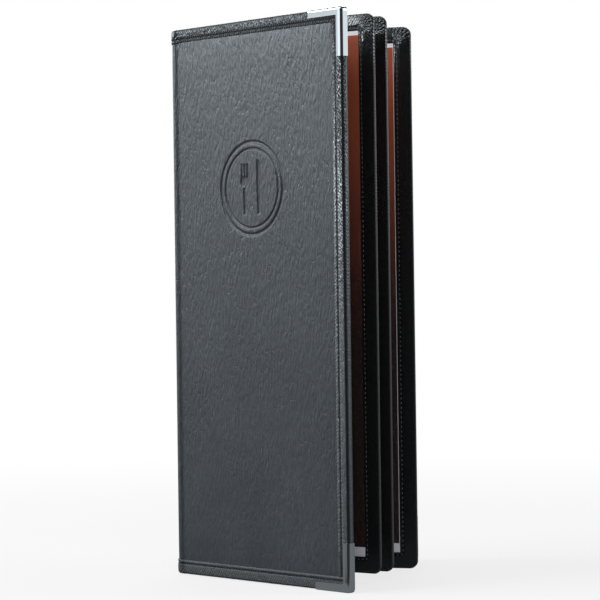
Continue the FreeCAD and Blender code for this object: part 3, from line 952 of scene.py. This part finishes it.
def leaf_hinge(leaf):
    """The leatherette web of one leaf, from the spine's lining to its legs on both windows."""
    shape = LeafShape(leaf)
    axis = Vector((*JOINT_OF[leaf]["pos_m"][:2], 0.0))
    tape_low, tape_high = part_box(leaf + "_hinge_tape")
    back = axis.x - tape_low.x + 0.2 * MM
    web = 0.5 * MM
    section = Route([(shape.start, -shape.half), (4.0 * MM, -shape.half), (3.0 * MM, -web), (-back, -web),
                     (-back, web), (3.0 * MM, web), (4.0 * MM, shape.half), (shape.start, shape.half)],
                    [0.5 * MM, 0.5 * MM, 0.15 * MM, 0.15 * MM, 0.5 * MM, 0.5 * MM])

    def place(a, b):
        flat, _ = section.at(a * section.length)
        near = smooth(-flat.x, 0.0, 3.4 * MM)
        low = shape.base + (tape_low.z - shape.base) * near
        high = shape.top + (tape_high.z - shape.top) * near
        z = low + (high - low) * b
        closing = math.sqrt(max(0.0, 1 - tucked(min(z - low, high - z), 0.9 * MM)))
        thick = flat.y * (0.05 + 0.95 * closing)
        if abs(flat.y) > 1.0 * MM:
            end = min(1.0, 12 * min(b, 1 - b))
            thick -= math.copysign(0.35 * MM * tucked(shape.start - flat.x, 0.45 * MM), thick)
            thick += math.copysign(0.05 * MM * ripple((flat.x, z, 0), 2.4 * MM, 4.0), thick) * end
        on_spine = Vector((axis.x + flat.x, axis.y + thick, z))
        return on_spine.lerp(shape.row(flat.x, thick, z), smooth(flat.x, -0.8 * MM, 0.8 * MM))

    # Far from every seam and bend, so that the grain stays plain
    piece = shaped_grid(leaf + "_hinge", 64, 150, place, lambda a, b: (0.0, 10 * MM, 1.0))
    surfaced(piece, Vector((-1, 0, 0)), "leaf_edging")
    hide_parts(leaf + "_hinge_strip", leaf + "_hinge_tape")
    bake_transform(piece)


def leaf_window(leaf, side):
    """One clear vinyl window, a little wavy over its card."""
    shape = LeafShape(leaf)
    sign = -1 if side == "front" else 1
    low, high = local_limits(leaf, "%s_%s_window" % (leaf, side))
    near = min(abs(low.y), abs(high.y))
    seed = 3.0 * LEAVES.index(leaf) + sign
    radius = shape.corner - 0.4 * MM

    def place(a, b):
        x = low.x + a * (high.x - low.x)
        z = low.z + b * (high.z - low.z)
        edge = min(shape.fore_line - x, x - shape.start, z - shape.low_line, shape.high_line - z)
        wave = 0.5 + 0.5 * ripple((x, z * 0.5, 0), 21 * MM, seed)
        wave *= 0.10 * MM * smooth(edge, -1 * MM, 12 * MM)
        corner = max(0.0, radius - (high.x - x))
        for level, inwards in ((low.z, 1), (high.z, -1)):
            tall = max(0.0, radius - abs(level - z))
            if corner and tall and math.hypot(corner, tall) > radius:
                shrink = radius / math.hypot(corner, tall)
                x -= corner * (1 - shrink)
                z += inwards * tall * (1 - shrink)
        return shape.row(x, sign * (near + wave), z)

    piece = shaped_grid("%s_%s_vinyl" % (leaf, side), 60, 130, place)
    surfaced(piece, shape.turned(0, sign, 0), "window")
    select_only(piece)
    wall = piece.modifiers.new("sheet", "SOLIDIFY")
    wall.thickness = 0.15 * MM
    wall.offset = 1.0
    bpy.ops.object.modifier_apply(modifier=wall.name)
    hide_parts("%s_%s_window" % (leaf, side))
    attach(piece, leaf)


class PRESENTER_OT_materials(bpy.types.Operator):
    """Make every material and finish the pieces that keep their plain form"""
    bl_idname = "presenter.materials"
    bl_label = "Materials"

    def execute(self, context):
        colours = finish_of()
        PAINTS.update(
            skin=paint_skin(),
            edging=paint_edging("edging_leatherette", colours.edging_colour, 0.11, 0.20, 0.80 * MM, 0.72,
                                (0.16, 0.30, 0.30)),
            leaf_edging=paint_edging("leaf_leatherette", colours.leaf_colour, 0.16, 0.16, 0.38 * MM, 0.62,
                                     (0.268, 0.292, 0.12)),
            lining=paint_lining(),
            window=paint_window(),
            thread=paint_thread("thread", colours.thread_colour, 0.5),
            leaf_thread=paint_thread("leaf_thread", colours.leaf_thread_colour, 0.3),
            board=paint_plain("grey_board", (0.22, 0.21, 0.19), 0.8),
            divider=paint_plain("black_sheet", (0.010, 0.010, 0.011), 0.5))
        for leaf in LEAVES:
            PAINTS[leaf] = paint_card(leaf)
            dress_node(leaf + "_divider", "divider")
            for side in ("front", "back"):
                dress_node("%s_%s_card" % (leaf, side), leaf)
        for cover in COVERS:
            dress_node(cover + "_board", "board")
            PAINTS[cover + "_metal"] = paint_metal(cover)
            for word in ("top", "bottom"):
                dress_node("%s_%s_corner" % (cover, word), cover + "_metal")
        return {"FINISHED"}


class PRESENTER_OT_covers(bpy.types.Operator):
    """Cover faces and linings, from the middle of the spine to the fore edge"""
    bl_idname = "presenter.covers"
    bl_label = "Cover faces and linings"

    def execute(self, context):
        for cover in COVERS:
            face = cover_face(cover)
            lining = cover_lining(cover)
            if cover == "front_cover":
                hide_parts("spine_skin")
                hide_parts("spine_liner")
        return {"FINISHED"}


class PRESENTER_OT_edging(bpy.types.Operator):
    """Folded and sewn strips round both covers"""
    bl_idname = "presenter.edging"
    bl_label = "Cover edging"

    def execute(self, context):
        for cover in COVERS:
            for word in ("top", "bottom"):
                strip = end_strip(cover, word)
                if cover == "front_cover":
                    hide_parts("spine_%s_strip" % word)
            fore_strip(cover)
        return {"FINISHED"}


class PRESENTER_OT_leaves(bpy.types.Operator):
    """Edging, hinge webs and windows of the three leaves"""
    bl_idname = "presenter.leaves"
    bl_label = "Leaves"

    def execute(self, context):
        for leaf in LEAVES:
            leaf_hinge(leaf)
            for side in ("front", "back"):
                leaf_border(leaf, side)
                leaf_window(leaf, side)
        return {"FINISHED"}


class PRESENTER_OT_stage(bpy.types.Operator):
    """Floor, white surroundings, soft lamps and the camera"""
    bl_idname = "presenter.stage"
    bl_label = "Stage and camera"

    def execute(self, context):
        floor = added(bpy.ops.mesh.primitive_plane_add, "floor", size=30.0)
        floor.data.materials.append(paint_floor())
        light_world()
        for lamp in LAMPS:
            add_lamp(*lamp)
        bpy.data.objects["fill"].visible_glossy = False
        add_camera()
        return {"FINISHED"}


def seen(paint, camera, glossy, transmission):
    """A share for each kind of ray that looks at the surroundings."""
    shares = [paint.ray(kind) * share for kind, share in
              (("Camera", camera), ("Glossy", glossy), ("Transmission", transmission))]
    return shares[0].most(shares[1]).most(shares[2])


def paint_floor():
    """A pale floor that keeps the object's shadow and runs out into white."""
    paint = Paint("floor")
    cloud = paint.noise(3.0)
    paint.set(base_color=paint.blend(cloud, (0.52, 0.52, 0.52), (0.56, 0.56, 0.56)), roughness=0.9)
    x_row, y_row, _ = paint.axes()
    far = (x_row * x_row + y_row * y_row).root().step(0.25, 1.1)
    beside = ((y_row + 0.083) / (x_row.absolute() + 0.03)).step(-0.62, -0.32)
    white = paint.node("Emission", {}, {"Strength": seen(paint, 1.0, beside * 0.20 + 0.02, 1.0)})
    shown = seen(paint, far * 0.25 + 0.75, 0.97, 1.0)
    mixed = paint.node("MixShader", {}, {0: shown, 1: Value(paint, paint.shader.outputs[0]), 2: white})
    paint.plug(paint.tree.nodes["Material Output"].inputs["Surface"], mixed)
    return paint.owner


def light_world():
    """Even pale surroundings: white where the camera and clear film look, plain grey as a light.

    Glossy rays see soft panels at both sides, darker towards the camera and overhead.
    """
    paint = Paint("surroundings", bpy.data.worlds.new("surroundings"))
    bpy.context.scene.world = paint.owner
    shade = paint.tree.nodes["Background"]
    shade.inputs["Color"].default_value = (1.0, 1.0, 1.0, 1.0)
    x_way, y_way, z_way = paint.split(paint.node("TexCoord", output="Generated"))
    raised = (z_way.step(-0.02, 0.095) * 0.75 + 0.25) * (1 - z_way.step(0.22, 0.5) * 0.88)
    right = x_way.step(-0.1, 0.1)
    turned = y_way.step(-0.52, -0.42)
    panel = turned * (1 - y_way.step(-0.26, -0.20))
    left_side = turned + panel * 0.6 + y_way.step(0.0, 0.3) * 1.7
    right_side = y_way.step(-0.42, -0.24) * 1.25
    beside = left_side * (1 - right) + right_side * right + 0.05
    gloss = paint.ray("Glossy")
    plain = seen(paint, 1.0, 0.0, 1.0).most(0.42)
    paint.plug(shade.inputs["Strength"], plain * (1 - gloss) + gloss * raised * beside)


def add_lamp(name, place, aim, size, power):
    """One soft panel that looks at the object."""
    lamp = added(bpy.ops.object.light_add, name, type="AREA", location=place)
    lamp.data.shape = "RECTANGLE"
    lamp.data.size, lamp.data.size_y = size
    lamp.data.energy = power
    lamp.rotation_euler = (Vector((0, 0, aim)) - Vector(place)).to_track_quat("-Z", "Y").to_euler()


def add_camera():
    """The camera at the photograph's viewpoint."""
    camera = added(bpy.ops.object.camera_add, "camera", location=CAMERA_PLACE,
                   rotation=(math.pi / 2, CAMERA_ROLL, CAMERA_TURN))
    camera.data.sensor_width = 36.0
    camera.data.lens = CAMERA_LENS
    bpy.context.scene.camera = camera
    bpy.context.scene.view_settings.view_transform = "Standard"


class PRESENTER_PT_panel(bpy.types.Panel):
    """Lists the steps that dress the presenter"""
    bl_idname = "PRESENTER_PT_panel"
    bl_label = "Check presenter"
    bl_space_type = "VIEW_3D"
    bl_region_type = "UI"
    bl_category = "Presenter"

    def draw(self, context):
        for step in STEPS:
            self.layout.operator(step.bl_idname)


STEPS = (PRESENTER_OT_materials, PRESENTER_OT_covers, PRESENTER_OT_edging, PRESENTER_OT_leaves,
         PRESENTER_OT_stage)
CLASSES = (PresenterSizes, PresenterFinish) + STEPS + (PRESENTER_PT_panel,)


def register():
    for kind in CLASSES:
        bpy.utils.register_class(kind)
    bpy.types.Scene.presenter_sizes = PointerProperty(type=PresenterSizes)
    bpy.types.Scene.presenter_finish = PointerProperty(type=PresenterFinish)


def unregister():
    del bpy.types.Scene.presenter_finish
    del bpy.types.Scene.presenter_sizes
    for kind in reversed(CLASSES):
        bpy.utils.unregister_class(kind)


def main():
    register()
    for step in STEPS:
        group, name = step.bl_idname.split(".")
        getattr(getattr(bpy.ops, group), name)()


if __name__ == "__main__":
    main()
